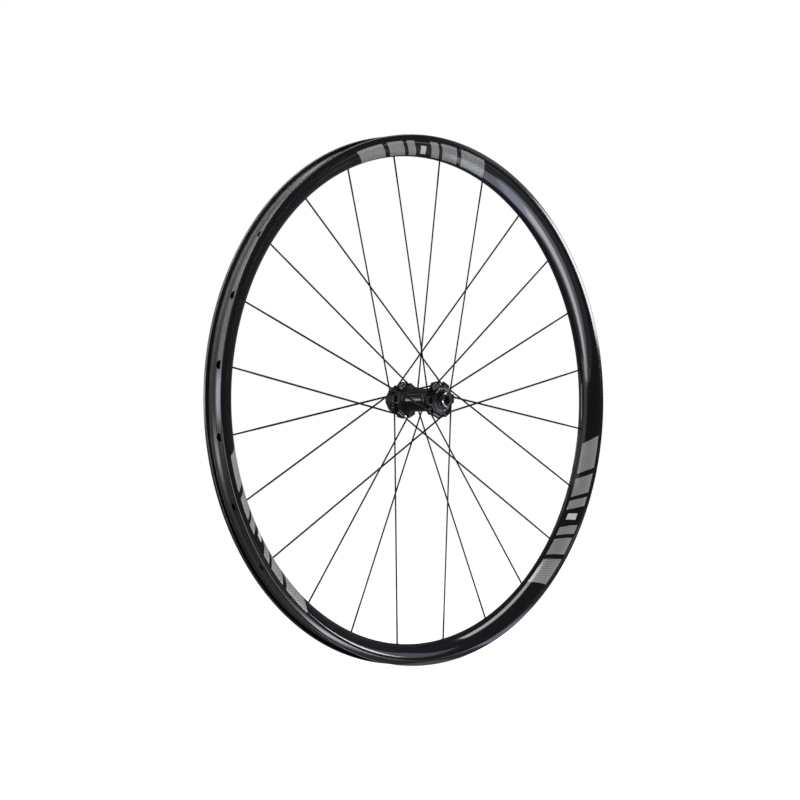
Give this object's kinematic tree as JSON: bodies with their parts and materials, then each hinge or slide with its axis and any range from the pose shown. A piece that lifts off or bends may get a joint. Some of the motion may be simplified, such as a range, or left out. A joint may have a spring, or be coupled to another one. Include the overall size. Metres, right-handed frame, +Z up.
{
  "type": "bicycle wheel",
  "caption": "Spoked front bicycle wheel: hollow moulded rim with a hookless tyre channel, straight-pull bladed spokes, and a disc-brake hub turning on sealed bearings round a through-axle bore.",
  "frame": {"origin": "wheel's centre, on the axle's axis in the rim's middle plane", "axes": "+Y along the axle towards the disc side (the rider's left), +X forwards, +Z up; the valve hole points down"},
  "size_m": [0.633, 0.1, 0.633],
  "materials": {
    "rim_carbon": "satin clear coat over black unidirectional carbon",
    "spoke_black": "black steel, semi-gloss",
    "hub_black": "black anodised, semi-gloss",
    "cap_black": "dark anodised, turned",
    "axle_alloy": "turned, bare",
    "nipple_alloy": "dark anodised",
    "race_steel": "ground",
    "ball_steel": "polished",
    "cage_nylon": "moulded",
    "seal_rubber": "matte"
  },
  "bodies": {
    "axle": {"axle_tube": "axle_alloy", "left_end_cap": "cap_black", "left_o_ring": "seal_rubber", "left_bearing_inner_race": "race_steel", "right_end_cap": "cap_black", "right_o_ring": "seal_rubber", "right_bearing_inner_race": "race_steel"},
    "wheel": {"rim": "rim_carbon", "hub_shell": "hub_black", "nipples": "nipple_alloy", "spoke_right_inner_1": "spoke_black", "spoke_right_inner_2": "spoke_black", "spoke_right_inner_3": "spoke_black", "spoke_right_inner_4": "spoke_black", "spoke_right_inner_5": "spoke_black", "spoke_right_inner_6": "spoke_black", "spoke_left_outer_1": "spoke_black", "spoke_left_outer_2": "spoke_black", "spoke_left_outer_3": "spoke_black", "spoke_left_outer_4": "spoke_black", "spoke_left_outer_5": "spoke_black", "spoke_left_outer_6": "spoke_black", "spoke_right_outer_1": "spoke_black", "spoke_right_outer_2": "spoke_black", "spoke_right_outer_3": "spoke_black", "spoke_right_outer_4": "spoke_black", "spoke_right_outer_5": "spoke_black", "spoke_right_outer_6": "spoke_black", "spoke_left_inner_1": "spoke_black", "spoke_left_inner_2": "spoke_black", "spoke_left_inner_3": "spoke_black", "spoke_left_inner_4": "spoke_black", "spoke_left_inner_5": "spoke_black", "spoke_left_inner_6": "spoke_black", "left_bearing_outer_race": "race_steel", "left_bearing_outer_seal": "seal_rubber", "left_bearing_inner_seal": "seal_rubber", "right_bearing_outer_race": "race_steel", "right_bearing_outer_seal": "seal_rubber", "right_bearing_inner_seal": "seal_rubber"},
    "left_ball_set": {"left_bearing_balls": "ball_steel", "left_bearing_cage": "cage_nylon"},
    "right_ball_set": {"right_bearing_balls": "ball_steel", "right_bearing_cage": "cage_nylon"}
  },
  "joints": [
    {"name": "wheel_spin", "type": "hinge", "parent": "axle", "child": "wheel", "pos_m": [0, 0, 0], "axis": [0, 1, 0], "continuous": true},
    {"name": "left_balls_roll", "type": "hinge", "parent": "axle", "child": "left_ball_set", "pos_m": [0, 0.0312, 0], "axis": [0, 1, 0], "continuous": true},
    {"name": "right_balls_roll", "type": "hinge", "parent": "axle", "child": "right_ball_set", "pos_m": [0, -0.03755, 0], "axis": [0, 1, 0], "continuous": true}
  ],
  "couplings": [
    {"joint": "left_balls_roll", "follows": "wheel_spin", "ratio": 0.5907},
    {"joint": "right_balls_roll", "follows": "wheel_spin", "ratio": 0.5907}
  ]
}
